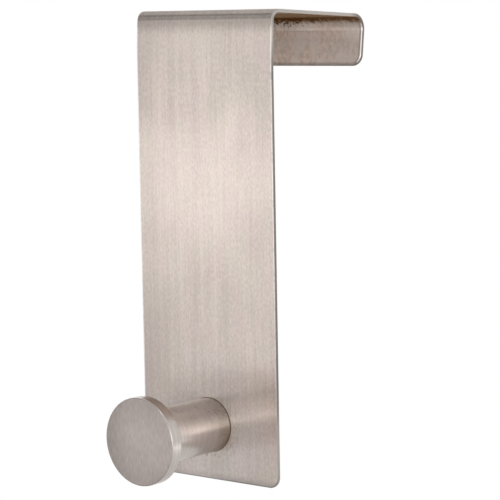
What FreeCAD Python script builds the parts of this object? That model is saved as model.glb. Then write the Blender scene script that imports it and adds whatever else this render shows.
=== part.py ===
import FreeCAD, Part
import math
import os
import Sketcher

# Over door hook: one folded sheet strap that hangs over the top edge of a door,
# with a turned knob screwed to its front plate from behind.
#
# Frame, in millimetres: X runs along the strap's width, +Y points from the door's front
# face into the door, and +Z points up. The origin is at mid width, on the plate's back
# face, at the height of the door's top edge. The knob therefore stands out towards -Y,
# and the rear flange hangs down behind the door at +Y.

DIMENSIONS = [
    # Strap: the overall sizes are taken over the outside of the sheet.
    ("strap_width", 50.0),
    ("sheet_thickness", 1.2),
    ("overall_height", 134.8),
    ("overall_depth", 44.0),
    ("flange_height", 17.0),
    ("front_bend_radius", 1.8),
    ("rear_bend_radius", 3.4),
    # The plate eases into the front bend on a long curve, which starts this far below
    # the door's top edge. All three radii are the inside ones.
    ("easing_radius", 126.0),
    ("easing_depth", 13.0),
    # The strap is bent past square twice, so that it grips: the top falls towards the
    # rear, and the flange leans in towards the plate. Both angles are in degrees.
    ("top_fall_angle", 2.6),
    ("flange_lean_angle", 6.7),
    ("plate_corner_radius", 3.3),
    ("flange_corner_radius", 3.3),
    # The strap's outline is rounded more on its inner skin than on its outer one.
    ("outer_edge_rounding", 0.35),
    ("inner_edge_rounding", 0.55),
    # Knob: its axis is measured up from the plate's bottom edge.
    ("knob_axis_height", 15.9),
    ("stem_diameter", 15.7),
    ("stem_length", 26.7),
    ("stem_foot_bevel", 0.2),
    ("stem_root_radius", 0.5),
    ("head_diameter", 24.9),
    ("head_thickness", 3.8),
    ("head_front_rounding", 0.4),
    ("head_back_bevel", 0.2),
    # Fixing screw: countersunk, with a hexagon socket, from behind the plate.
    ("thread_diameter", 4.0),
    ("screw_length", 16.0),
    ("screw_head_diameter", 7.5),
    ("screw_head_land", 0.2),
    ("screw_tip_bevel", 0.5),
    ("socket_across_flats", 2.5),
    ("socket_depth", 1.5),
    # Fits: clearances are on the radius.
    ("screw_head_recess", 0.1),
    ("countersink_angle", 90.0),
    ("seat_clearance", 0.05),
    ("thread_clearance", 0.05),
    ("through_hole_clearance", 0.25),
    ("tapped_hole_spare_depth", 2.0),
    ("drill_point_angle", 118.0),
]

# Lengths closer than this are taken as equal when a face or an edge is picked.
PICK_TOLERANCE = 1e-4

# Geometry positions of a sketch element: its start, its end and its centre.
START, END, CENTRE = range(1, 4)

# Sketch references: the sketch's origin point, its horizontal and its vertical axis.
ORIGIN = (-1, 1)
H_AXIS, V_AXIS = -1, -2

# The height of the knob's and the screw's common axis above the frame's origin.
KNOB_AXIS_LEVEL = "Sizes.sheet_thickness - Sizes.overall_height + Sizes.knob_axis_height"

doc = FreeCAD.newDocument("over_door_hook")
sizes = doc.addObject("Spreadsheet::Sheet", "Sizes")
for row, (alias, value) in enumerate(DIMENSIONS, start=1):
    sizes.set("A%d" % row, alias)
    sizes.set("B%d" % row, str(value))
    sizes.setAlias("B%d" % row, alias)
doc.recompute()


def size(alias):
    """The value of one named dimension."""
    return float(sizes.get(alias))


def new_body(label):
    """A sub-part's body, under the name that its file gets."""
    body = doc.addObject("PartDesign::Body", label)
    body.Label = label
    return body


def origin_plane(body, role):
    """One of the body's own base planes."""
    return next(item for item in body.Origin.OriginFeatures if item.Role == role)


def new_sketch(body, name, role):
    """An empty sketch on one of the body's base planes."""
    sketch = body.newObject("Sketcher::SketchObject", name)
    sketch.AttachmentSupport = (origin_plane(body, role), [""])
    sketch.MapMode = "FlatFace"
    return sketch


def line(sketch, start, end):
    """Adds a straight line and gives back its number."""
    first = FreeCAD.Vector(start[0], start[1], 0)
    last = FreeCAD.Vector(end[0], end[1], 0)
    return sketch.addGeometry(Part.LineSegment(first, last), False)


def arc(sketch, centre, radius, start, end):
    """Adds an arc, counterclockwise between two angles in radians, and gives back its number."""
    middle = FreeCAD.Vector(centre[0], centre[1], 0)
    circle = Part.Circle(middle, FreeCAD.Vector(0, 0, 1), radius)
    return sketch.addGeometry(Part.ArcOfCircle(circle, start, end), False)


def relate(sketch, kind, *references):
    """Adds a constraint that has no size."""
    sketch.addConstraint(Sketcher.Constraint(kind, *references))


def drive(sketch, kind, references, name, formula):
    """Adds a constraint whose size is bound to the sheet. Angles are given in degrees."""
    value = sketch.evalExpression(formula)
    if kind == "Angle":
        value = math.radians(value)
    number = sketch.addConstraint(Sketcher.Constraint(kind, *references, value))
    sketch.renameConstraint(number, name)
    sketch.setExpression("Constraints." + name, formula)


def edge_names(shape, wanted):
    """The names of the edges that a test picks."""
    return ["Edge%d" % number for number, edge in enumerate(shape.Edges, start=1) if wanted(edge)]


def dress(body, kind, name, names, property_name, formula):
    """Rounds or bevels the named edges of the body's last feature."""
    base = body.Tip
    feature = body.newObject("PartDesign::" + kind, name)
    feature.Base = (base, names)
    feature.setExpression(property_name, formula)
    doc.recompute()
    return feature


def circle_at(radius, along):
    """A test for the circular edges of one radius, at one distance along the Y axis."""
    def wanted(edge):
        curve = edge.Curve
        if not isinstance(curve, Part.Circle):
            return False
        same_radius = abs(curve.Radius - radius) < PICK_TOLERANCE
        return same_radius and abs(curve.Center.y - along) < PICK_TOLERANCE
    return wanted


# The strap's section is one closed outline of fourteen elements. It starts with the top
# and the flange square, and its constraints then fold them to their two angles. The
# outside and the inside of each curve share a centre, so the sheet keeps its thickness.
def strap_section(body):
    sketch = new_sketch(body, "strap_section", "YZ_Plane")
    thickness = size("sheet_thickness")
    easing = size("easing_radius")
    front_bend = size("front_bend_radius")
    rear_bend = size("rear_bend_radius")
    top = thickness
    bottom = top - size("overall_height")
    lip = top - size("flange_height")
    front = -thickness
    rear = front + size("overall_depth")
    rear_inside = rear - thickness
    rear_centre = rear_inside - rear_bend
    easing_start = -size("easing_depth")
    easing_turn = math.asin((-front_bend - easing_start) / (easing - front_bend))
    front_centre = easing - (easing - front_bend) * math.cos(easing_turn)
    bend_end = math.pi - easing_turn
    quarter = math.pi / 2

    plate_front = line(sketch, (front, bottom), (front, easing_start))
    outer_easing = arc(sketch, (easing, easing_start), easing + thickness, bend_end, math.pi)
    outer_front_bend = arc(sketch, (front_centre, -front_bend), front_bend + thickness, quarter, bend_end)
    top_outside = line(sketch, (front_centre, top), (rear_centre, top))
    outer_rear_bend = arc(sketch, (rear_centre, -rear_bend), rear_bend + thickness, 0, quarter)
    flange_outside = line(sketch, (rear, -rear_bend), (rear, lip))
    lip_end = line(sketch, (rear, lip), (rear_inside, lip))
    flange_inside = line(sketch, (rear_inside, lip), (rear_inside, -rear_bend))
    inner_rear_bend = arc(sketch, (rear_centre, -rear_bend), rear_bend, 0, quarter)
    top_inside = line(sketch, (rear_centre, 0), (front_centre, 0))
    inner_front_bend = arc(sketch, (front_centre, -front_bend), front_bend, quarter, bend_end)
    inner_easing = arc(sketch, (easing, easing_start), easing, bend_end, math.pi)
    plate_back = line(sketch, (0, easing_start), (0, bottom))
    plate_end = line(sketch, (0, bottom), (front, bottom))

    relate(sketch, "Tangent", plate_front, END, outer_easing, END)
    relate(sketch, "Tangent", outer_easing, START, outer_front_bend, END)
    relate(sketch, "Tangent", outer_front_bend, START, top_outside, START)
    relate(sketch, "Tangent", top_outside, END, outer_rear_bend, END)
    relate(sketch, "Tangent", outer_rear_bend, START, flange_outside, START)
    relate(sketch, "Coincident", flange_outside, END, lip_end, START)
    relate(sketch, "Coincident", lip_end, END, flange_inside, START)
    relate(sketch, "Tangent", flange_inside, END, inner_rear_bend, START)
    relate(sketch, "Tangent", inner_rear_bend, END, top_inside, START)
    relate(sketch, "Tangent", top_inside, END, inner_front_bend, START)
    relate(sketch, "Tangent", inner_front_bend, END, inner_easing, START)
    relate(sketch, "Tangent", inner_easing, END, plate_back, START)
    relate(sketch, "Coincident", plate_back, END, plate_end, START)
    relate(sketch, "Coincident", plate_end, END, plate_front, START)

    relate(sketch, "Coincident", outer_easing, CENTRE, inner_easing, CENTRE)
    relate(sketch, "Coincident", outer_front_bend, CENTRE, inner_front_bend, CENTRE)
    relate(sketch, "Coincident", outer_rear_bend, CENTRE, inner_rear_bend, CENTRE)
    relate(sketch, "Vertical", plate_front)
    relate(sketch, "Vertical", plate_back)
    relate(sketch, "Horizontal", plate_end)
    relate(sketch, "PointOnObject", plate_back, END, V_AXIS)
    relate(sketch, "Parallel", top_inside, top_outside)
    relate(sketch, "Parallel", flange_inside, flange_outside)
    relate(sketch, "Perpendicular", flange_outside, lip_end)

    drive(sketch, "DistanceX", (plate_front, START, *ORIGIN), "thickness", "Sizes.sheet_thickness")
    drive(sketch, "Radius", (inner_easing,), "easing", "Sizes.easing_radius")
    drive(sketch, "Radius", (inner_front_bend,), "front_bend", "Sizes.front_bend_radius")
    drive(sketch, "Radius", (inner_rear_bend,), "rear_bend", "Sizes.rear_bend_radius")
    drive(sketch, "DistanceY", (inner_easing, CENTRE, *ORIGIN), "easing_start", "Sizes.easing_depth")
    drive(sketch, "DistanceY", (inner_front_bend, CENTRE, *ORIGIN), "crest", "Sizes.front_bend_radius")
    drive(sketch, "Angle", (top_inside,), "top_fall", "180 - Sizes.top_fall_angle")
    drive(sketch, "Angle", (flange_inside,), "flange_lean", "90 - Sizes.flange_lean_angle")
    drive(sketch, "DistanceX", (*ORIGIN, inner_rear_bend, CENTRE), "rear",
          "Sizes.overall_depth - 2 * Sizes.sheet_thickness - Sizes.rear_bend_radius")
    drive(sketch, "DistanceY", (plate_front, START, *ORIGIN), "drop",
          "Sizes.overall_height - Sizes.sheet_thickness")
    drive(sketch, "DistanceY", (flange_outside, END, *ORIGIN), "lip",
          "Sizes.flange_height - Sizes.sheet_thickness")
    doc.recompute()
    return sketch


def fold_strap(body):
    """The folded sheet with square corners, as wide as the strap."""
    pad = body.newObject("PartDesign::Pad", "folded_sheet")
    pad.Profile = strap_section(body)
    pad.SideType = "Symmetric"
    pad.setExpression("Length", "Sizes.strap_width")
    doc.recompute()


def corner_edges(shape, at_plate):
    """The short edges through the sheet's thickness, at the plate's or the flange's end."""
    half_width = size("strap_width") / 2

    def wanted(edge):
        on_side = all(abs(abs(vertex.X) - half_width) < PICK_TOLERANCE for vertex in edge.Vertexes)
        through = abs(edge.Length - size("sheet_thickness")) < PICK_TOLERANCE
        return on_side and through and (edge.CenterOfMass.y < 0) == at_plate
    return edge_names(shape, wanted)


def round_corners(body):
    plate_corners = corner_edges(body.Shape, at_plate=True)
    dress(body, "Fillet", "plate_corners", plate_corners, "Radius", "Sizes.plate_corner_radius")
    flange_corners = corner_edges(body.Shape, at_plate=False)
    dress(body, "Fillet", "flange_corners", flange_corners, "Radius", "Sizes.flange_corner_radius")


def skin_edges(shape, depth):
    """The plate's two long edges on one skin, which lies at a depth along the Y axis."""
    half_width = size("strap_width") / 2

    def wanted(edge):
        on_side = all(abs(abs(vertex.X) - half_width) < PICK_TOLERANCE for vertex in edge.Vertexes)
        return on_side and all(abs(vertex.Y - depth) < PICK_TOLERANCE for vertex in edge.Vertexes)
    return edge_names(shape, wanted)


def soften_outline(body):
    """Rounds the outline on both skins. Each rounding runs on from the plate's long edges."""
    outer_edges = skin_edges(body.Shape, -size("sheet_thickness"))
    dress(body, "Fillet", "outer_outline", outer_edges, "Radius", "Sizes.outer_edge_rounding")
    inner_edges = skin_edges(body.Shape, 0.0)
    dress(body, "Fillet", "inner_outline", inner_edges, "Radius", "Sizes.inner_edge_rounding")


# The plate and the knob are drilled on one axis, and the countersink starts at the
# plate's back face in both. Its cone runs through the sheet and opens the mouth of the
# knob's tapped hole, so the screw's head is seated in the two together.
def drill_centre(body, name, diameter):
    """A sketch with the drill's circle on the body's upright plane, left free in height."""
    sketch = new_sketch(body, name + "_centre", "XZ_Plane")
    circle = sketch.addGeometry(Part.Circle(), False)
    relate(sketch, "PointOnObject", circle, CENTRE, V_AXIS)
    drive(sketch, "Diameter", (circle,), "drill", diameter)
    return sketch, circle


def drill_from_back(body, name, sketch, diameter):
    """A countersunk hole from the back towards the front, through all that it meets."""
    doc.recompute()
    hole = body.newObject("PartDesign::Hole", name)
    hole.Profile = sketch
    hole.Reversed = True
    doc.recompute()
    hole.setExpression("Diameter", diameter)
    hole.DepthType = "ThroughAll"
    hole.HoleCutType = "Countersink"
    hole.HoleCutCustomValues = True
    hole.setExpression("HoleCutCountersinkAngle", "Sizes.countersink_angle")
    hole.setExpression("HoleCutDiameter", "Sizes.screw_head_diameter + 2 * (Sizes.screw_head_land"
                       " + Sizes.screw_head_recess + Sizes.seat_clearance)")
    doc.recompute()
    return hole


def drill_plate(body):
    diameter = "Sizes.thread_diameter + 2 * Sizes.through_hole_clearance"
    sketch, circle = drill_centre(body, "screw_hole", diameter)
    drive(sketch, "DistanceY", (circle, CENTRE, *ORIGIN), "axis_depth",
          "Sizes.overall_height - Sizes.sheet_thickness - Sizes.knob_axis_height")
    drill_from_back(body, "screw_hole", sketch, diameter)


def build_strap():
    body = new_body("strap")
    fold_strap(body)
    round_corners(body)
    drill_plate(body)
    soften_outline(body)
    return body


def revolve(body, sketch, name):
    """Turns a half section about the body's own Y axis."""
    turned = body.newObject("PartDesign::Revolution", name)
    turned.Profile = sketch
    turned.ReferenceAxis = (sketch, ["H_Axis"])
    turned.Angle = 360.0
    doc.recompute()


def closed_outline(sketch, points):
    """Straight lines through the points and back to the first one."""
    lines = [line(sketch, here, there) for here, there in zip(points, points[1:] + points[:1])]
    for number, element in enumerate(lines):
        relate(sketch, "Coincident", element, END, lines[(number + 1) % len(lines)], START)
    return lines


# The knob's own frame has its origin at the middle of the stem's foot. The stem and the
# head lie towards -Y. The half section starts with its sharp steps, and the bevels and
# the turned root radius follow as features of their own.
def turn_knob(body):
    sketch = new_sketch(body, "knob_half_section", "YZ_Plane")
    stem_end = -size("stem_length")
    head_end = stem_end - size("head_thickness")
    stem_radius = size("stem_diameter") / 2
    head_radius = size("head_diameter") / 2
    foot, stem_side, head_back, head_side, head_face, axis = closed_outline(sketch, [
        (0, 0), (0, stem_radius), (stem_end, stem_radius),
        (stem_end, head_radius), (head_end, head_radius), (head_end, 0)])
    relate(sketch, "Coincident", foot, START, *ORIGIN)
    for element in (foot, head_back, head_face):
        relate(sketch, "Vertical", element)
    for element in (stem_side, head_side, axis):
        relate(sketch, "Horizontal", element)
    drive(sketch, "DistanceY", (*ORIGIN, foot, END), "stem_radius", "Sizes.stem_diameter / 2")
    drive(sketch, "DistanceY", (*ORIGIN, head_back, END), "head_radius", "Sizes.head_diameter / 2")
    drive(sketch, "DistanceX", (stem_side, END, stem_side, START), "stem", "Sizes.stem_length")
    drive(sketch, "DistanceX", (head_side, END, head_side, START), "head", "Sizes.head_thickness")
    revolve(body, sketch, "turned_knob")


def dress_knob(body):
    stem_radius = size("stem_diameter") / 2
    head_radius = size("head_diameter") / 2
    head_back = -size("stem_length")
    head_face = head_back - size("head_thickness")
    root = edge_names(body.Shape, circle_at(stem_radius, head_back))
    dress(body, "Fillet", "stem_root", root, "Radius", "Sizes.stem_root_radius")
    foot = edge_names(body.Shape, circle_at(stem_radius, 0))
    dress(body, "Chamfer", "stem_foot", foot, "Size", "Sizes.stem_foot_bevel")
    front_rim = edge_names(body.Shape, circle_at(head_radius, head_face))
    dress(body, "Fillet", "head_front", front_rim, "Radius", "Sizes.head_front_rounding")
    back_rim = edge_names(body.Shape, circle_at(head_radius, head_back))
    dress(body, "Chamfer", "head_back", back_rim, "Size", "Sizes.head_back_bevel")


def tap_knob(body):
    diameter = "Sizes.thread_diameter + 2 * Sizes.thread_clearance"
    sketch, circle = drill_centre(body, "tapped_hole", diameter)
    relate(sketch, "PointOnObject", circle, CENTRE, H_AXIS)
    sketch.setExpression("AttachmentOffset.Base.z", "-Sizes.sheet_thickness")
    hole = drill_from_back(body, "tapped_hole", sketch, diameter)
    hole.DepthType = "Dimension"
    hole.setExpression("Depth", "Sizes.screw_head_recess + Sizes.screw_length"
                       " + Sizes.tapped_hole_spare_depth")
    hole.DrillPoint = "Angled"
    hole.setExpression("DrillPointAngle", "Sizes.drill_point_angle")
    doc.recompute()


def build_knob():
    body = new_body("knob")
    turn_knob(body)
    dress_knob(body)
    tap_knob(body)
    body.setExpression("Placement.Base.y", "-Sizes.sheet_thickness")
    body.setExpression("Placement.Base.z", KNOB_AXIS_LEVEL)
    return body


# The screw's own frame has its origin at the middle of its head's flat face, and the
# shank points towards -Y. Its thread is drawn plain, at the thread's outer diameter.
def turn_screw(body):
    sketch = new_sketch(body, "screw_half_section", "YZ_Plane")
    head_radius = size("screw_head_diameter") / 2
    shank_radius = size("thread_diameter") / 2
    land_end = -size("screw_head_land")
    cone_end = land_end - (head_radius - shank_radius)
    tip = -size("screw_length")
    head_flat, land, cone, shank, tip_flat, axis = closed_outline(sketch, [
        (0, 0), (0, head_radius), (land_end, head_radius),
        (cone_end, shank_radius), (tip, shank_radius), (tip, 0)])
    relate(sketch, "Coincident", head_flat, START, *ORIGIN)
    for element in (head_flat, tip_flat):
        relate(sketch, "Vertical", element)
    for element in (land, shank, axis):
        relate(sketch, "Horizontal", element)
    drive(sketch, "DistanceY", (*ORIGIN, head_flat, END), "head_radius", "Sizes.screw_head_diameter / 2")
    drive(sketch, "DistanceX", (land, END, land, START), "land", "Sizes.screw_head_land")
    drive(sketch, "DistanceY", (*ORIGIN, cone, END), "shank_radius", "Sizes.thread_diameter / 2")
    drive(sketch, "Angle", (cone,), "cone", "Sizes.countersink_angle / 2 - 180")
    drive(sketch, "DistanceX", (tip_flat, END, *ORIGIN), "length", "Sizes.screw_length")
    revolve(body, sketch, "turned_screw")


def bevel_tip(body):
    tip = edge_names(body.Shape, circle_at(size("thread_diameter") / 2, -size("screw_length")))
    dress(body, "Chamfer", "screw_tip", tip, "Size", "Sizes.screw_tip_bevel")


def hexagon(sketch, across_flats):
    """A regular hexagon about the sketch's origin, held by the circle through its corners."""
    corner = FreeCAD.Vector(across_flats / math.sqrt(3), 0, 0)
    turn = FreeCAD.Rotation(FreeCAD.Vector(0, 0, 1), 60)
    corners = []
    for _ in range(6):
        corners.append((corner.x, corner.y))
        corner = turn.multVec(corner)
    sides = closed_outline(sketch, corners)
    outer = Part.Circle(FreeCAD.Vector(0, 0, 0), FreeCAD.Vector(0, 0, 1), corner.x)
    circle = sketch.addGeometry(outer, True)
    relate(sketch, "Coincident", circle, CENTRE, *ORIGIN)
    for side in sides:
        relate(sketch, "PointOnObject", side, START, circle)
    for side in sides[1:]:
        relate(sketch, "Equal", sides[0], side)
    relate(sketch, "PointOnObject", sides[0], START, H_AXIS)
    drive(sketch, "Diameter", (circle,), "across_corners", "2 * Sizes.socket_across_flats / sqrt(3)")


def cut_socket(body):
    sketch = new_sketch(body, "socket_hexagon", "XZ_Plane")
    hexagon(sketch, size("socket_across_flats"))
    socket = body.newObject("PartDesign::Pocket", "hexagon_socket")
    socket.Profile = sketch
    socket.Reversed = True
    socket.setExpression("Length", "Sizes.socket_depth")
    doc.recompute()


def build_screw():
    body = new_body("fixing_screw")
    turn_screw(body)
    bevel_tip(body)
    cut_socket(body)
    body.setExpression("Placement.Base.y", "-Sizes.screw_head_recess")
    body.setExpression("Placement.Base.z", KNOB_AXIS_LEVEL)
    return body


def check_document():
    """Stops if any object failed or if a sketch is free to move."""
    for item in doc.Objects:
        if "Invalid" in item.State or "Error" in item.State:
            raise RuntimeError("%s failed: %s" % (item.Name, item.State))
        if item.TypeId == "Sketcher::SketchObject" and not item.FullyConstrained:
            raise RuntimeError("%s isn't fully constrained" % item.Name)


def check_shape(body):
    """Stops unless the body is one valid solid, and every feature changed its volume."""
    shape = body.Shape
    if shape.isNull() or not shape.isValid() or len(shape.Solids) != 1:
        raise RuntimeError("%s isn't one valid solid" % body.Label)
    volume = 0.0
    for feature in body.Group:
        if feature.isDerivedFrom("PartDesign::Feature"):
            if abs(feature.Shape.Volume - volume) < PICK_TOLERANCE:
                raise RuntimeError("%s changes nothing" % feature.Name)
            volume = feature.Shape.Volume


bodies = [build_strap(), build_knob(), build_screw()]
doc.recompute()
check_document()
os.makedirs("parts", exist_ok=True)
for body in bodies:
    check_shape(body)
    body.Shape.exportStep("parts/%s.step" % body.Label)
    box = body.Shape.optimalBoundingBox()
    print("%-13s %9.1f mm3  X %.2f to %.2f  Y %.2f to %.2f  Z %.2f to %.2f" % (
        body.Label, body.Shape.Volume, box.XMin, box.XMax, box.YMin, box.YMax, box.ZMin, box.ZMax))
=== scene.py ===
import math
from types import SimpleNamespace

import bpy
from mathutils import Matrix, Vector


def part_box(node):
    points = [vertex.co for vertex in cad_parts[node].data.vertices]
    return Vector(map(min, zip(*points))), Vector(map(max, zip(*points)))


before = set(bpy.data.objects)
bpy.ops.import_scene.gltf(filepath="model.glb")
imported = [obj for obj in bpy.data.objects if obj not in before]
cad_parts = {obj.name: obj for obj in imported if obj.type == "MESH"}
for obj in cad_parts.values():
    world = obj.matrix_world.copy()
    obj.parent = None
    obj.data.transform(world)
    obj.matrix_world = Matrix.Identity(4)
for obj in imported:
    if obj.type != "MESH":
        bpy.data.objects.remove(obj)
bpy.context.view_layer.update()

# Places on the object, in metres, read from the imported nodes
STRAP_LOW, STRAP_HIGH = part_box("strap")
KNOB_LOW, KNOB_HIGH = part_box("knob")
HALF_WIDTH = STRAP_HIGH.x
PLATE_FRONT = STRAP_LOW.y
HEAD_FACE = KNOB_LOW.y
KNOB_AXIS = (KNOB_LOW.z + KNOB_HIGH.z) / 2

# Sizes that the nodes' boxes don't tell, in metres
CORNER_RADIUS = 0.0033
FLANGE_END = -0.0157
STEM_RADIUS = 0.00785


# Small helpers for node trees
def node(tree, kind, **settings):
    """A new node with its settings."""
    made = tree.nodes.new(kind)
    for name, value in settings.items():
        setattr(made, name, value)
    return made


def put(tree, source, socket):
    """Links an output to an input, or sets the input when the source is a plain value."""
    if isinstance(source, bpy.types.NodeSocket):
        tree.links.new(source, socket)
    else:
        socket.default_value = source


def math_node(tree, operation, *values, clamp=False):
    """The result of one operation on numbers."""
    made = node(tree, "ShaderNodeMath", operation=operation, use_clamp=clamp)
    for value, socket in zip(values, made.inputs):
        put(tree, value, socket)
    return made.outputs[0]


def product(tree, first, *others):
    """All the values multiplied."""
    result = first
    for value in others:
        result = math_node(tree, "MULTIPLY", result, value)
    return result


def weighted_sum(tree, start, *terms):
    """A start, plus each term's value times its weight."""
    total = start
    for value, weight in terms:
        total = math_node(tree, "MULTIPLY_ADD", value, weight, total)
    return total


def inverse(tree, value):
    """One minus a value."""
    return math_node(tree, "SUBTRACT", 1.0, value)


def less(tree, value, limit):
    """One where a value is under a limit, and nought elsewhere."""
    return math_node(tree, "LESS_THAN", value, limit)


def greater(tree, value, limit):
    """One where a value is over a limit, and nought elsewhere."""
    return math_node(tree, "GREATER_THAN", value, limit)


def distance_from(tree, value, place):
    """How far a value is from a place, on either side."""
    return math_node(tree, "ABSOLUTE", math_node(tree, "SUBTRACT", value, place))


def vector_node(tree, operation, *values):
    """The result of one operation on vectors."""
    made = node(tree, "ShaderNodeVectorMath", operation=operation)
    for value, socket in zip(values, made.inputs):
        put(tree, value, socket)
    return made.outputs["Value" if operation in ("DOT_PRODUCT", "LENGTH") else "Vector"]


def ramp(tree, value, low, high, to_low=0.0, to_high=1.0):
    """A smooth step of a value from low to high."""
    made = node(tree, "ShaderNodeMapRange", interpolation_type="SMOOTHSTEP")
    for given, name in ((value, "Value"), (low, "From Min"), (high, "From Max"),
                        (to_low, "To Min"), (to_high, "To Max")):
        put(tree, given, made.inputs[name])
    return made.outputs["Result"]


def noise(tree, vector, scale, detail=2.0, roughness=0.5, offset=(0, 0, 0)):
    """Three-dimensional noise about 0.5; the scale has one factor for each axis."""
    stretched = vector_node(tree, "MULTIPLY_ADD", vector, scale, offset)
    made = node(tree, "ShaderNodeTexNoise")
    put(tree, stretched, made.inputs["Vector"])
    made.inputs["Scale"].default_value = 1.0
    made.inputs["Detail"].default_value = detail
    made.inputs["Roughness"].default_value = roughness
    return made.outputs["Fac"]


def mix_colour(tree, factor, first, second, blend="MIX"):
    """Two colours mixed, or laid over each other in the way that blend names."""
    made = node(tree, "ShaderNodeMix", data_type="RGBA", blend_type=blend)
    put(tree, factor, made.inputs["Factor"])
    put(tree, first, made.inputs[6])
    put(tree, second, made.inputs[7])
    return made.outputs[2]


def combine(tree, x, y, z):
    """A vector, or a colour, of three numbers."""
    made = node(tree, "ShaderNodeCombineXYZ")
    for value, socket in zip((x, y, z), made.inputs):
        put(tree, value, socket)
    return made.outputs[0]


def separate(tree, vector):
    """The three numbers of a vector."""
    made = node(tree, "ShaderNodeSeparateXYZ")
    put(tree, vector, made.inputs[0])
    return made.outputs


def dimmed(tree, colour, factor):
    """A colour times one factor in red, green and blue."""
    return mix_colour(tree, 1.0, colour, combine(tree, factor, factor, factor), blend="MULTIPLY")


def bump(tree, height, strength, distance, normal=None):
    """A normal bent by a height, on top of another bent normal where one is given."""
    made = node(tree, "ShaderNodeBump")
    made.inputs["Strength"].default_value = strength
    made.inputs["Distance"].default_value = distance
    put(tree, height, made.inputs["Height"])
    if normal is not None:
        put(tree, normal, made.inputs["Normal"])
    return made.outputs[0]


def new_material(name):
    """A material, its node tree and its shader."""
    made = bpy.data.materials.new(name)
    made.use_nodes = True
    return made, made.node_tree, made.node_tree.nodes["Principled BSDF"]


def position(tree):
    """The point on the surface in the object's frame, in metres."""
    return node(tree, "ShaderNodeTexCoord").outputs["Object"]


def facing(tree, way):
    """How far the surface faces a way in the object's frame."""
    normal = node(tree, "ShaderNodeTexCoord").outputs["Normal"]
    return vector_node(tree, "DOT_PRODUCT", normal, way)


# Colours, as linear red, green and blue
STEEL = (0.80, 0.70, 0.635, 1.0)
STEEL_DARK = (0.62, 0.54, 0.49, 1.0)
GREEN_TINGE = (0.985, 1.0, 0.99, 1.0)
PINK_TINGE = (1.0, 0.985, 1.01, 1.0)
FACE = (0.63, 0.56, 0.527, 1.0)
FACE_DARK = (0.50, 0.44, 0.413, 1.0)
TURNED = (0.95, 0.88, 0.835, 1.0)
TURNED_DARK = (0.79, 0.72, 0.675, 1.0)
CUT_EDGE = (0.36, 0.33, 0.305, 1.0)
TOP_EDGE = (0.78, 0.72, 0.67, 1.0)
RIDGE_HIGHLIGHT = (0.97, 0.91, 0.86, 1.0)
TARNISH = (0.11, 0.046, 0.011, 1.0)
BROWN = (0.36, 0.23, 0.135, 1.0)
BROWN_DARK = (0.24, 0.14, 0.075, 1.0)
STAIN = (1.0, 0.855, 0.77, 1.0)
STAIN_GREY = (0.94, 0.855, 0.80, 1.0)
STAIN_DARK = (0.78, 0.645, 0.555, 1.0)
JOINT_DIRT_AND_SHADE = (0.24, 0.165, 0.105, 1.0)
EDGE_SHADE_AND_NICK = (0.30, 0.285, 0.275, 1.0)
HAZE = (1.12, 1.155, 1.19, 1.0)
SCREW = (0.60, 0.59, 0.58, 1.0)
SCREW_DARK = (0.42, 0.41, 0.40, 1.0)

# From here to the studio, a name that holds two numbers is a fade: nought at the first and
# one at the second, in metres in the object's frame where it is a place. Where two more
# numbers follow, in the name or in the call, they are its values at the first and at the
# second. A noise's scale counts its waves in a metre along x, y and z.

# Zones of the strap
PLATE_REACH = 0.003
FRONT_SKIN = 0.00038
FLANGE_START = 0.036
FLANGE_LINE = -0.0157
FLANGE_LINE_SLOPE = 0.3
INNER_START = 0.0012
INNER_LOWEST = STRAP_LOW.z / 2
INWARD = (0.0, -1.0, -1.0)
INWARD_LEAST = 0.35
UPRIGHT_SHARE = (0.45, 0.75)

# The cut edge and the painted highlight on its ridge, with widths measured in from the sheet's outline
EDGE_FADE = 0.00012
EDGE_WIDTH = 0.00028
EDGE_WIDTH_MORE_IN_FRONT = 0.00020
EDGE_WIDTH_MORE_ON_FLANGE = 0.00030
SIDE_WIDTH = 0.00018
SIDE_WIDTH_MORE_IN_FRONT = 0.00010
LOW_END = (-0.105, -0.120)
LOW_RIDGE_LOSS = -0.8
CHIPS = dict(scale=(380.0, 380.0, 380.0), detail=3.0, roughness=0.6, offset=(9.0, 5.0, 8.0))
CHIPPED = (0.36, 0.46, 0.70, 1.0)


def outline(tree, at):
    """How far in from the sheet's outline a point is, and one where that outline is a side."""
    side_start = math_node(tree, "SUBTRACT", math_node(tree, "ABSOLUTE", at.x), HALF_WIDTH - CORNER_RADIUS)
    past_side = math_node(tree, "MAXIMUM", side_start, 0.0)
    end = weighted_sum(tree, FLANGE_END + CORNER_RADIUS, (at.on_plate, STRAP_LOW.z - FLANGE_END))
    past_end = math_node(tree, "MAXIMUM", math_node(tree, "SUBTRACT", end, at.z), 0.0)
    reach = vector_node(tree, "LENGTH", combine(tree, past_side, 0.0, past_end))
    inset = math_node(tree, "SUBTRACT", CORNER_RADIUS, reach)
    return inset, ramp(tree, math_node(tree, "DIVIDE", past_side, reach), *UPRIGHT_SHARE)


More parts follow.
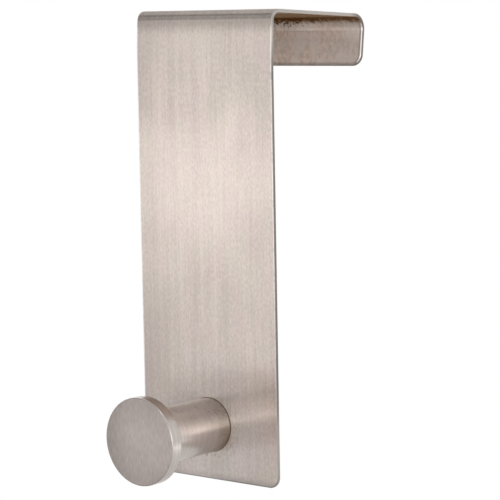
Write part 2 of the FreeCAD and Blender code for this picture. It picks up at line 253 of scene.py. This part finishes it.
def strap_zones(tree):
    """A point's place on the strap and the strap's zones, each one inside and nought outside."""
    at = SimpleNamespace(point=position(tree))
    at.x, at.y, at.z = separate(tree, at.point)
    rise = math_node(tree, "SUBTRACT", at.z, KNOB_AXIS)
    at.from_axis = vector_node(tree, "LENGTH", combine(tree, at.x, rise, 0.0))
    at.on_plate = less(tree, at.y, PLATE_REACH)
    at.on_front = product(tree, at.on_plate, less(tree, at.y, PLATE_FRONT + FRONT_SKIN))
    inward = greater(tree, facing(tree, INWARD), INWARD_LEAST)
    flange_line = weighted_sum(tree, FLANGE_LINE, (at.y, FLANGE_LINE_SLOPE))
    on_flange = product(tree, less(tree, at.z, flange_line), greater(tree, at.y, FLANGE_START), inward)

    at.inset, upright = outline(tree, at)
    width = weighted_sum(tree, EDGE_WIDTH, (at.on_front, EDGE_WIDTH_MORE_IN_FRONT),
                         (on_flange, EDGE_WIDTH_MORE_ON_FLANGE))
    at.edge = ramp(tree, at.inset, width, math_node(tree, "SUBTRACT", width, EDGE_FADE))
    width = weighted_sum(tree, SIDE_WIDTH, (at.on_front, SIDE_WIDTH_MORE_IN_FRONT))
    side = ramp(tree, at.inset, width, math_node(tree, "SUBTRACT", width, EDGE_FADE))
    at.low_end = ramp(tree, at.z, *LOW_END)
    ridged = math_node(tree, "ADD", at.on_front, product(tree, on_flange, upright), clamp=True)
    chips = ramp(tree, noise(tree, at.point, **CHIPS), *CHIPPED)
    # Where the ridge gets its painted highlight: the front and the flange's upright edges, broken by chips,
    # fading low down
    at.ridge = product(tree, at.edge, ridged, inverse(tree, side),
                       weighted_sum(tree, 1.0, (at.low_end, LOW_RIDGE_LOSS)), chips)
    at.cut = product(tree, at.edge, inverse(tree, at.ridge))
    at.inner = product(tree, inward, greater(tree, at.y, INNER_START), greater(tree, at.z, INNER_LOWEST),
                       inverse(tree, side), inverse(tree, at.ridge))
    return at


# The brushed sheet
SPECK = dict(scale=(1700.0, 950.0, 950.0), detail=1.0)
LINE = dict(scale=(1700.0, 45.0, 45.0), offset=(11.0, 3.0, 7.0))
STREAK = dict(scale=(380.0, 16.0, 16.0), offset=(2.0, 8.0, 5.0))
CLOUD = dict(scale=(90.0, 60.0, 45.0), detail=3.0, offset=(5.0, 1.0, 2.0))
BRUSHED_TONE = (0.34, 0.66)
TINGE = dict(scale=(110.0, 90.0, 70.0), offset=(6.0, 6.0, 2.0))
TINGED = (0.38, 0.62)
RIGHT_DARKENING = (0.008, HALF_WIDTH)
RIGHT_DARKENING_LEVELS = (-0.090, -0.055)
RIGHT_DARKENING_LOSS = -0.06
LEFT_DARKENING = (-HALF_WIDTH, -0.008, 0.88, 1.0)


def brushed_steel(tree, at):
    """The bare sheet, brushed along its length and a little darker towards its sides."""
    cloud = noise(tree, at.point, **CLOUD)
    tone = weighted_sum(tree, 0.0, (at.speck, 0.36), (at.line, 0.22), (at.streak, 0.24), (cloud, 0.18))
    base = mix_colour(tree, ramp(tree, tone, *BRUSHED_TONE), STEEL_DARK, STEEL)
    # Darker towards the left side, and towards the right side above about mid-height
    right = product(tree, ramp(tree, at.x, *RIGHT_DARKENING), ramp(tree, at.z, *RIGHT_DARKENING_LEVELS))
    base = dimmed(tree, base, weighted_sum(tree, ramp(tree, at.x, *LEFT_DARKENING), (right, RIGHT_DARKENING_LOSS)))
    tinge = ramp(tree, noise(tree, at.point, **TINGE), *TINGED)
    return mix_colour(tree, 1.0, base, mix_colour(tree, tinge, GREEN_TINGE, PINK_TINGE), blend="MULTIPLY")


# Cut edges, and a nick in the plate's right edge
PALE_LEVELS = (-0.016, -0.003)
PALE_REACH = (0.041, 0.035)
LOW_PALENESS = 0.6
NICK_LEVEL = -0.0172
NICK_LENGTH = (0.0014, 0.0008)
NICK_DEPTH = (0.00045, 0.00015)


def cut_edges(tree, base, at):
    """The cut edge, paler at the sheet's top and bottom, with a painted highlight on the ridge, and the
    nick.
    """
    high_end = product(tree, ramp(tree, at.z, *PALE_LEVELS), ramp(tree, at.y, *PALE_REACH))
    pale = math_node(tree, "MAXIMUM", high_end, product(tree, at.low_end, LOW_PALENESS))
    base = mix_colour(tree, at.edge, base, mix_colour(tree, pale, CUT_EDGE, TOP_EDGE))
    # Painted highlight: a bright colour along the ridge of the cut edge
    base = mix_colour(tree, at.ridge, base, RIDGE_HIGHLIGHT)
    nick = product(tree, ramp(tree, distance_from(tree, at.z, NICK_LEVEL), *NICK_LENGTH),
                   ramp(tree, at.inset, *NICK_DEPTH), greater(tree, at.x, 0.0), at.on_front)
    return mix_colour(tree, nick, base, EDGE_SHADE_AND_NICK)


# Stains on the inner skin of the top strap, the rear bend and the flange, under painted light and shade
MOTTLE = dict(scale=(900.0, 700.0, 700.0), detail=4.0, roughness=0.7, offset=(4.0, 9.0, 1.0))
STAINED = (0.32, 0.68)
WASH = dict(scale=(170.0, 130.0, 130.0), offset=(3.0, 1.0, 7.0))
WASHED = (0.44, 0.62)
WASHED_RIGHT = (0.006, 0.022, 0.0, 0.5)
WASH_STRENGTH = 0.7
INSIDE_SHADE_LEVELS = (-0.0057, -0.0088, 1.08, 0.92)
INSIDE_SHADE_RIGHT = (0.004, 0.022, 1.0, 0.92)
REAR_BEND_SHADE_LEVELS = (-0.00575, -0.0052)
REAR_BEND_SHADE_SIDES = (-0.004, 0.008, 0.80, 0.92)
INSIDE_EDGE_SHADE = (0.0012, 0.0007, 1.0, 0.70)


def stained_inside(tree, base, at):
    """Mottled stains, greyer where washed out, under painted light and shade: lighter high up, darker in
    the bend and at the edge.
    """
    stain = mix_colour(tree, ramp(tree, at.mottle, *STAINED), STAIN_DARK, STAIN)
    washed = math_node(tree, "ADD", ramp(tree, noise(tree, at.point, **WASH), *WASHED),
                       ramp(tree, at.x, *WASHED_RIGHT), clamp=True)
    stain = mix_colour(tree, product(tree, washed, WASH_STRENGTH), stain, STAIN_GREY)
    # Painted light and shade: lighter high up, darker low down, towards the right, in the rear bend and
    # just inside the edge
    rear_bend_shade = ramp(tree, at.x, *REAR_BEND_SHADE_SIDES)
    inside_shade = product(tree, ramp(tree, at.z, *INSIDE_SHADE_LEVELS), ramp(tree, at.x, *INSIDE_SHADE_RIGHT),
                     ramp(tree, at.z, *REAR_BEND_SHADE_LEVELS, 1.0, rear_bend_shade), ramp(tree, at.inset, *INSIDE_EDGE_SHADE))
    return mix_colour(tree, at.inner, base, dimmed(tree, stain, inside_shade))


# The brown film under the top strap, and the dark tarnish in the rear bend
DRIP = dict(scale=(1000.0, 800.0, 800.0), detail=4.0, roughness=0.75, offset=(7.0, 2.0, 3.0))
FILM_LEVELS = (-0.0038, -0.0020)
FILM_REACH = (0.002, 0.010, 0.70, 1.0)
FILM_SIDES = (-0.022, -0.010)
FILM_SPOTS = 0.8
FILM_TONE = (0.38, 0.62)
TARNISH_SIDES = (-0.004, 0.012)
TARNISH_DRIP = 0.0105
TARNISH_DRIP_LESS_RIGHT = -0.0060
TARNISH_LOWER_RIGHT = -0.0004
TARNISH_LEVELS = (-0.0036, -0.0022)
TARNISH_TOP = (-0.0005, -0.0015)
TARNISH_RIGHT = (0.002, 0.018, 1.0, 0.72)
TARNISH_REACH = (0.028, 0.038)


def brown_film(tree, at):
    """How much brown film lies on the steel, whose shine it hides."""
    film = weighted_sum(tree, ramp(tree, at.z, *FILM_LEVELS), (at.spots, FILM_SPOTS))
    film = math_node(tree, "MULTIPLY", film, ramp(tree, at.y, *FILM_REACH), clamp=True)
    return product(tree, film, ramp(tree, at.x, *FILM_SIDES), at.inner)


def tarnished_inside(tree, base, at):
    """The brown film, and over it the tarnish, whose lower edge drips most on the left."""
    film = mix_colour(tree, ramp(tree, at.mottle, *FILM_TONE), BROWN_DARK, BROWN)
    base = mix_colour(tree, at.film, base, film)
    right = ramp(tree, at.x, *TARNISH_SIDES)
    drip = weighted_sum(tree, TARNISH_DRIP, (right, TARNISH_DRIP_LESS_RIGHT))
    level = weighted_sum(tree, at.z, (at.spots, drip), (right, TARNISH_LOWER_RIGHT))
    tarnish = product(tree, ramp(tree, level, *TARNISH_LEVELS), ramp(tree, at.z, *TARNISH_TOP),
                      ramp(tree, at.x, *TARNISH_RIGHT), ramp(tree, at.y, *TARNISH_REACH), at.inner)
    return mix_colour(tree, tarnish, base, TARNISH)


# Marks on the plate round the knob's foot
HAZE_RADII = (0.026, 0.012)
SPATTER = dict(scale=(700.0, 700.0, 700.0), detail=3.0, roughness=0.6, offset=(1.0, 2.0, 3.0))
SPATTERED = (0.54, 0.68, 0.0, 0.36)
SPATTER_RADII = (0.0135, 0.0085)
SPATTER_LEVELS = (KNOB_AXIS, KNOB_AXIS - 0.005)


def foot_marks(tree, base, at):
    """A pale haze round the foot, and specks of dirt under it."""
    base = mix_colour(tree, at.hazy, base, HAZE, blend="MULTIPLY")
    specks = product(tree, ramp(tree, at.from_axis, *SPATTER_RADII), ramp(tree, at.z, *SPATTER_LEVELS),
                     ramp(tree, noise(tree, at.point, **SPATTER), *SPATTERED), at.on_front)
    return mix_colour(tree, specks, base, JOINT_DIRT_AND_SHADE)


# Painted shade on the plate's bottom edge and under the front bend, and the joint line round the knob's
# foot
BOTTOM_SHADE = (STRAP_LOW.z + 0.0024, STRAP_LOW.z + 0.0002, 0.0, 0.45)
LIP_SHADE = (STRAP_LOW.z + 0.0006, STRAP_LOW.z, 0.0, 0.45)
BOTTOM_SHADE_SIDES = (-0.005, 0.012, 0.5, 1.0)
BEND_SHADE_FOOT = (-0.0060, -0.0020)
BEND_SHADE_TOP = (-0.0003, -0.0018)
BEND_SHADE_LOSS = -0.29
JOINT_LINE = (STEM_RADIUS + 0.0003, STEM_RADIUS)
PLATE_SKIN = 0.0001


def shaded_ends_and_joint(tree, base, at):
    """Painted shade along the bottom edge and in a band under the front bend, and the joint line of dirt
    and painted shade.
    """
    # Painted shade: the plate's bottom edge darkened, more towards the right
    bottom = math_node(tree, "ADD", ramp(tree, at.z, *BOTTOM_SHADE), ramp(tree, at.z, *LIP_SHADE))
    base = mix_colour(tree, product(tree, bottom, ramp(tree, at.x, *BOTTOM_SHADE_SIDES)), base, EDGE_SHADE_AND_NICK)
    # Painted shade: a darker band on the plate just under the front bend
    bend = product(tree, ramp(tree, at.z, *BEND_SHADE_FOOT), ramp(tree, at.z, *BEND_SHADE_TOP), at.on_plate)
    base = dimmed(tree, base, weighted_sum(tree, 1.0, (bend, BEND_SHADE_LOSS)))
    # The joint line on the plate round the foot: dirt in the joint and painted contact shade
    joint = product(tree, ramp(tree, at.from_axis, *JOINT_LINE), less(tree, at.y, PLATE_FRONT + PLATE_SKIN))
    return mix_colour(tree, joint, base, JOINT_DIRT_AND_SHADE)


# The strap's shine and relief
SHEET_ROUGHNESS = 0.24
SHEET_ANISOTROPY = 0.95
FILM_METAL_LOSS = -0.97
WAVE = dict(scale=(28.0, 20.0, 24.0), detail=1.0, offset=(1.0, 6.0, 4.0))
WAVE_HEIGHT = 0.0005
BRUSH_DEPTH = 0.00002
BRUSH_STRENGTH = 0.2


def strap_material():
    """Sheet brushed along its length, with cut edges and a tarnished rear bend inside."""
    made, tree, shader = new_material("brushed_strap")
    at = strap_zones(tree)
    at.speck = noise(tree, at.point, **SPECK)
    at.line = noise(tree, at.point, **LINE)
    at.streak = noise(tree, at.point, **STREAK)
    at.mottle = noise(tree, at.point, **MOTTLE)
    at.spots = math_node(tree, "SUBTRACT", noise(tree, at.point, **DRIP), 0.5)
    at.film = brown_film(tree, at)
    at.hazy = product(tree, ramp(tree, at.from_axis, *HAZE_RADII), at.on_front)

    base = brushed_steel(tree, at)
    for layer in (cut_edges, stained_inside, tarnished_inside, foot_marks, shaded_ends_and_joint):
        base = layer(tree, base, at)
    put(tree, base, shader.inputs["Base Color"])

    rough = weighted_sum(tree, SHEET_ROUGHNESS, (at.streak, 0.08), (at.line, 0.06), (at.cut, 0.12),
                         (at.inner, 0.36), (at.hazy, 0.16))
    put(tree, rough, shader.inputs["Roughness"])
    put(tree, weighted_sum(tree, 1.0, (at.film, FILM_METAL_LOSS)), shader.inputs["Metallic"])
    shader.inputs["Specular IOR Level"].default_value = 0.0
    shader.inputs["Anisotropic"].default_value = SHEET_ANISOTROPY
    put(tree, combine(tree, 1.0, 0.0, 0.0), shader.inputs["Tangent"])
    waved = bump(tree, noise(tree, at.point, **WAVE), 1.0, WAVE_HEIGHT)
    brushed = math_node(tree, "ADD", at.line, at.speck)
    put(tree, bump(tree, brushed, BRUSH_STRENGTH, BRUSH_DEPTH, waved), shader.inputs["Normal"])
    return made


# The turned knob
FACE_SKIN = 0.0001
GRAIN = dict(scale=(2200.0, 1.0, 450.0))
TURNING = dict(scale=(30.0, 2600.0, 30.0), detail=3.0)
KNOB_CLOUD = dict(scale=(140.0, 140.0, 140.0), offset=(3.0, 5.0, 9.0))
KNOB_TONE = (0.3, 0.7)
FACE_LEFT_SHADE = (-0.0125, -0.002, 0.76, 1.0)
FACE_RISE_SHADE = (0.004, 0.0125, 1.0, 0.85)
STEM_FOOT_SHADE = (PLATE_FRONT - 0.018, PLATE_FRONT - 0.002, 1.0, 0.84)
KNOB_STAIN = dict(scale=(260.0, 260.0, 260.0), detail=4.0, roughness=0.6, offset=(8.0, 4.0, 6.0))
FRECKLES = dict(scale=(1100.0, 1100.0, 1100.0), detail=3.0, roughness=0.7, offset=(2.0, 7.0, 4.0))
FRECKLED = (0.46, 0.64)
FRECKLED_PATCHES = (0.40, 0.62)
FRECKLED_LEVELS = (KNOB_AXIS + 0.001, KNOB_AXIS + 0.005, 0.0, 0.40)
FRECKLES_START = HEAD_FACE + 0.003
RIM_START = HEAD_FACE + 0.0005
RIM_END = HEAD_FACE + 0.0040
RIM_LEVELS = (KNOB_AXIS + 0.004, KNOB_AXIS + 0.0105, 0.0, 0.42)
SMEAR_REACH = (PLATE_FRONT - 0.0026, PLATE_FRONT + 0.0040)
SMEAR_RAGGEDNESS = 0.008
SMEAR_LEVELS = (KNOB_AXIS + 0.003, KNOB_AXIS - 0.004, 0.20, 0.76)
FOOT_LINE = (PLATE_FRONT - 0.00025, PLATE_FRONT - 0.0001, 0.0, 0.8)
SIDE_ROUGHNESS = 0.23
FACE_ROUGHNESS = 0.42
KNOB_ANISOTROPY = 0.5
TURNED_DEPTH = 0.00002
TURNED_STRENGTH = 0.08


def turned_steel(tree, at):
    """The bare knob: darker on its face than on its side, with painted shade on the face's left, top and
    bottom and towards the stem's foot.
    """
    tone = weighted_sum(tree, 0.0, (at.lines, 0.7), (noise(tree, at.point, **KNOB_CLOUD), 0.3))
    tone = ramp(tree, tone, *KNOB_TONE)
    side = mix_colour(tree, tone, TURNED_DARK, TURNED)
    front = mix_colour(tree, tone, FACE_DARK, FACE)
    rise = distance_from(tree, at.z, KNOB_AXIS)
    # Painted shade: the face darker on its left and towards its top and bottom
    front = dimmed(tree, front, product(tree, ramp(tree, at.x, *FACE_LEFT_SHADE), ramp(tree, rise, *FACE_RISE_SHADE)))
    # Painted shade: the stem darker towards its foot
    return dimmed(tree, mix_colour(tree, at.face, side, front), ramp(tree, at.y, *STEM_FOOT_SHADE))


def knob_stains(tree, base, at):
    """Brown freckles on the stem's top, a brown rim top, a smear at the foot and its joint line of dirt and
    painted contact shade.
    """
    patches = noise(tree, at.point, **KNOB_STAIN)
    freckles = product(tree, ramp(tree, noise(tree, at.point, **FRECKLES), *FRECKLED),
                       ramp(tree, patches, *FRECKLED_PATCHES), ramp(tree, at.z, *FRECKLED_LEVELS),
                       greater(tree, at.y, FRECKLES_START))
    base = mix_colour(tree, freckles, base, BROWN)
    rim = product(tree, greater(tree, at.y, RIM_START), less(tree, at.y, RIM_END),
                  ramp(tree, at.z, *RIM_LEVELS))
    base = mix_colour(tree, rim, base, BROWN)
    ragged = weighted_sum(tree, at.y, (patches, SMEAR_RAGGEDNESS))
    smear = product(tree, ramp(tree, ragged, *SMEAR_REACH), ramp(tree, at.z, *SMEAR_LEVELS))
    base = mix_colour(tree, smear, base, BROWN)
    # The dark line at the stem's foot: dirt in the joint and painted contact shade
    return mix_colour(tree, ramp(tree, at.y, *FOOT_LINE), base, JOINT_DIRT_AND_SHADE)


def knob_material():
    """Turned on its side, with a satin face."""
    made, tree, shader = new_material("turned_knob")
    at = SimpleNamespace(point=position(tree))
    at.x, at.y, at.z = separate(tree, at.point)
    at.face = less(tree, at.y, HEAD_FACE + FACE_SKIN)
    turning = noise(tree, at.point, **TURNING)
    grain = noise(tree, at.point, **GRAIN)
    at.lines = ramp(tree, at.face, 0.0, 1.0, turning, grain)
    put(tree, knob_stains(tree, turned_steel(tree, at), at), shader.inputs["Base Color"])
    rough = ramp(tree, at.face, 0.0, 1.0, SIDE_ROUGHNESS, FACE_ROUGHNESS)
    put(tree, weighted_sum(tree, rough, (at.lines, 0.05)), shader.inputs["Roughness"])
    shader.inputs["Metallic"].default_value = 1.0
    shader.inputs["Anisotropic"].default_value = KNOB_ANISOTROPY
    put(tree, combine(tree, at.face, inverse(tree, at.face), 0.0), shader.inputs["Tangent"])
    put(tree, bump(tree, at.lines, TURNED_STRENGTH, TURNED_DEPTH), shader.inputs["Normal"])
    return made


# The machined screw
SCREW_MOTTLE = dict(scale=(900.0, 900.0, 900.0), detail=3.0)
SCREW_ROUGHNESS = 0.22


def screw_material():
    """Plain machined steel with a fine mottle."""
    made, tree, shader = new_material("machined_screw")
    spots = noise(tree, position(tree), **SCREW_MOTTLE)
    put(tree, mix_colour(tree, spots, SCREW_DARK, SCREW), shader.inputs["Base Color"])
    put(tree, weighted_sum(tree, SCREW_ROUGHNESS, (spots, 0.15)), shader.inputs["Roughness"])
    shader.inputs["Metallic"].default_value = 1.0
    return made


# Studio, with places in metres
FLOOR_LEVEL = -0.45
FLOOR_RADIUS = 2.55
FLOOR_SIDES = 96
FLOOR_FADE_START = 1.5
FLOOR_CENTRE = (0.45, -1.30)
FLOOR_COLOUR = (0.80, 0.79, 0.78, 1.0)
FLOOR_ROUGHNESS = 0.8
WORLD_LIGHT = (0.75, 0.75, 0.75, 1.0)
WHITE = (1.0, 1.0, 1.0, 1.0)
BLACK = (0.0, 0.0, 0.0, 1.0)

# The cards' tones: an elevation in degrees, and the tone there
CEILING_TONES = [(40, 0.29), (48, 0.25), (60, 0.19), (73, 0.24), (75, 0.66), (90, 0.60), (118, 0.54),
                 (149, 0.60)]
FRONT_TONES = [(-22, 0.66), (-15, 0.84), (-12.3, 0.92), (-10.6, 1.14), (-8.5, 1.54), (-6.4, 1.78),
               (-4.6, 0.69), (-3, 0.62), (0, 0.93), (5, 0.92), (7.5, 0.85), (9.5, 0.79), (13, 0.77),
               (20, 0.50), (35, 0.30), (46, 0.25)]
HIGH_FRONT_TONES = [(26, 0.70), (50, 0.70)]
LEFT_TONES = [(-20, 0.45), (40, 0.40)]
RIGHT_TONES = [(-11, 0.60), (-1, 0.60), (2, 1.30), (16, 1.30), (20, 0.62), (35, 0.62)]
BACK_RIGHT_TONES = [(-15, 0.60), (29, 0.58)]


def white_rays(tree):
    """One for the rays that see the background: camera, glossy and transmission rays."""
    path = node(tree, "ShaderNodeLightPath")
    seen = math_node(tree, "MAXIMUM", path.outputs["Is Camera Ray"], path.outputs["Is Glossy Ray"])
    return math_node(tree, "MAXIMUM", seen, path.outputs["Is Transmission Ray"])


def build_world():
    """A white background and a soft even light."""
    world = bpy.data.worlds.new("studio")
    bpy.context.scene.world = world
    world.use_nodes = True
    tree = world.node_tree
    colour = mix_colour(tree, white_rays(tree), WORLD_LIGHT, WHITE)
    put(tree, colour, tree.nodes["Background"].inputs["Color"])


def build_floor():
    """A pale round floor that turns white towards its rim, where the background starts."""
    bpy.ops.mesh.primitive_circle_add(vertices=FLOOR_SIDES, radius=FLOOR_RADIUS, fill_type="NGON",
                                      location=(*FLOOR_CENTRE, FLOOR_LEVEL))
    floor = bpy.context.object
    floor.name = "floor"
    made, tree, shader = new_material("pale_floor")
    shader.inputs["Base Color"].default_value = FLOOR_COLOUR
    shader.inputs["Roughness"].default_value = FLOOR_ROUGHNESS
    glow = node(tree, "ShaderNodeEmission")
    far = ramp(tree, vector_node(tree, "LENGTH", position(tree)), FLOOR_FADE_START, FLOOR_RADIUS)
    mixer = node(tree, "ShaderNodeMixShader")
    put(tree, product(tree, far, white_rays(tree)), mixer.inputs[0])
    put(tree, shader.outputs[0], mixer.inputs[1])
    put(tree, glow.outputs[0], mixer.inputs[2])
    put(tree, mixer.outputs[0], tree.nodes["Material Output"].inputs["Surface"])
    floor.data.materials.append(made)


def direction(azimuth, elevation):
    """Azimuth 0 is the front, and positive angles are to the right of the plate and up."""
    side, rise = math.radians(azimuth), math.radians(elevation)
    return Vector((math.sin(side) * math.cos(rise), -math.cos(side) * math.cos(rise), math.sin(rise)))


def stand(thing, azimuth, elevation, distance, shift=0.0):
    """Puts a card or lamp at a direction, facing the object, and shifts it along its width."""
    side = math.radians(azimuth)
    along = Vector((math.cos(side), math.sin(side), 0.0))
    thing.location = direction(azimuth, elevation) * distance + along * shift
    thing.rotation_euler = (math.radians(90 - elevation), 0.0, side)


def panel(name, azimuth, distance, width, tones, shift=0.0):
    """A glowing card. Its tones are given for elevations, from its foot to its top."""
    middle = (tones[0][0] + tones[-1][0]) / 2
    reach = math.tan(math.radians(tones[-1][0] - middle))
    brightest = max(tone for elevation, tone in tones)
    bpy.ops.mesh.primitive_plane_add(size=1.0)
    card = bpy.context.object
    card.name = name
    card.scale = (width, 2 * reach * distance, 1.0)
    stand(card, azimuth, middle, distance, shift)
    made, tree, shader = new_material(name)
    shader.inputs["Base Color"].default_value = BLACK
    shader.inputs["Specular IOR Level"].default_value = 0.0
    shader.inputs["Emission Strength"].default_value = brightest
    blend = node(tree, "ShaderNodeValToRGB")
    elements = blend.color_ramp.elements
    while len(elements) < len(tones):
        elements.new(0.5)
    for element, (elevation, tone) in zip(elements, tones):
        element.position = 0.5 + math.tan(math.radians(elevation - middle)) / (2 * reach)
        element.color = (tone / brightest, tone / brightest, tone / brightest, 1.0)
    level = separate(tree, position(tree))[1]
    put(tree, math_node(tree, "ADD", level, 0.5), blend.inputs["Fac"])
    put(tree, blend.outputs["Color"], shader.inputs["Emission Color"])
    card.data.materials.append(made)
    card.visible_camera = False


def softbox(name, azimuth, elevation, distance, width, height, radiance):
    """An area lamp that faces the object, as bright as a white card times its radiance."""
    data = bpy.data.lights.new(name, "AREA")
    data.shape = "RECTANGLE"
    data.size = width
    data.size_y = height
    data.energy = radiance * math.pi * width * height
    lamp = bpy.data.objects.new(name, data)
    bpy.context.scene.collection.objects.link(lamp)
    stand(lamp, azimuth, elevation, distance)


# Camera, fitted to the photograph's edges. The angles are in degrees and the places in metres.
CAMERA_AZIMUTH = 39.144
CAMERA_ELEVATION = 6.371
CAMERA_ROLL = -1.037
CAMERA_DISTANCE = 0.59219
CAMERA_AIM = (0.01619, -0.0012, -0.06607)
FOCAL_LENGTH_PIXELS = 2105.9
FRAME_PIXELS = 500.0
SENSOR_WIDTH = 36.0


def build_camera():
    """The camera at the photograph's viewing angle."""
    data = bpy.data.cameras.new("camera")
    data.sensor_width = SENSOR_WIDTH
    data.lens = FOCAL_LENGTH_PIXELS / FRAME_PIXELS * SENSOR_WIDTH
    data.clip_start = 0.01
    data.clip_end = 50.0
    camera = bpy.data.objects.new("camera", data)
    bpy.context.scene.collection.objects.link(camera)
    roll = math.radians(CAMERA_ROLL)
    back = direction(CAMERA_AZIMUTH, CAMERA_ELEVATION)
    right = Vector((0, 0, 1)).cross(back).normalized()
    up = back.cross(right)
    turned_right = right * math.cos(roll) + up * math.sin(roll)
    turned_up = up * math.cos(roll) - right * math.sin(roll)
    axes = Matrix((turned_right, turned_up, back)).transposed()
    camera.matrix_world = Matrix.Translation(Vector(CAMERA_AIM) + back * CAMERA_DISTANCE) @ axes.to_4x4()
    bpy.context.scene.camera = camera


def dress(name, material):
    """Gives a carried-over node its material."""
    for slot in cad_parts[name].material_slots:
        slot.material = material


build_camera()
build_world()
build_floor()
panel("ceiling", azimuth=0, distance=1.1, width=3.6, tones=CEILING_TONES)
panel("front_panel", azimuth=0, distance=1.05, width=2.6, tones=FRONT_TONES, shift=-1.1)
panel("high_front_panel", azimuth=4, distance=0.9, width=0.6, tones=HIGH_FRONT_TONES)
panel("left_panel", azimuth=-100, distance=1.6, width=1.4, tones=LEFT_TONES)
panel("right_panel", azimuth=50, distance=1.9, width=1.8, tones=RIGHT_TONES)
panel("back_right_panel", azimuth=113, distance=1.6, width=3.0, tones=BACK_RIGHT_TONES)
softbox("right_softbox", azimuth=40, elevation=-3.0, distance=1.4, width=0.9, height=0.30, radiance=1.85)
softbox("high_softbox", azimuth=30, elevation=54, distance=1.2, width=0.36, height=0.24, radiance=1.9)
dress("strap", strap_material())
dress("knob", knob_material())
dress("fixing_screw", screw_material())

bpy.context.scene.view_settings.view_transform = "Standard"
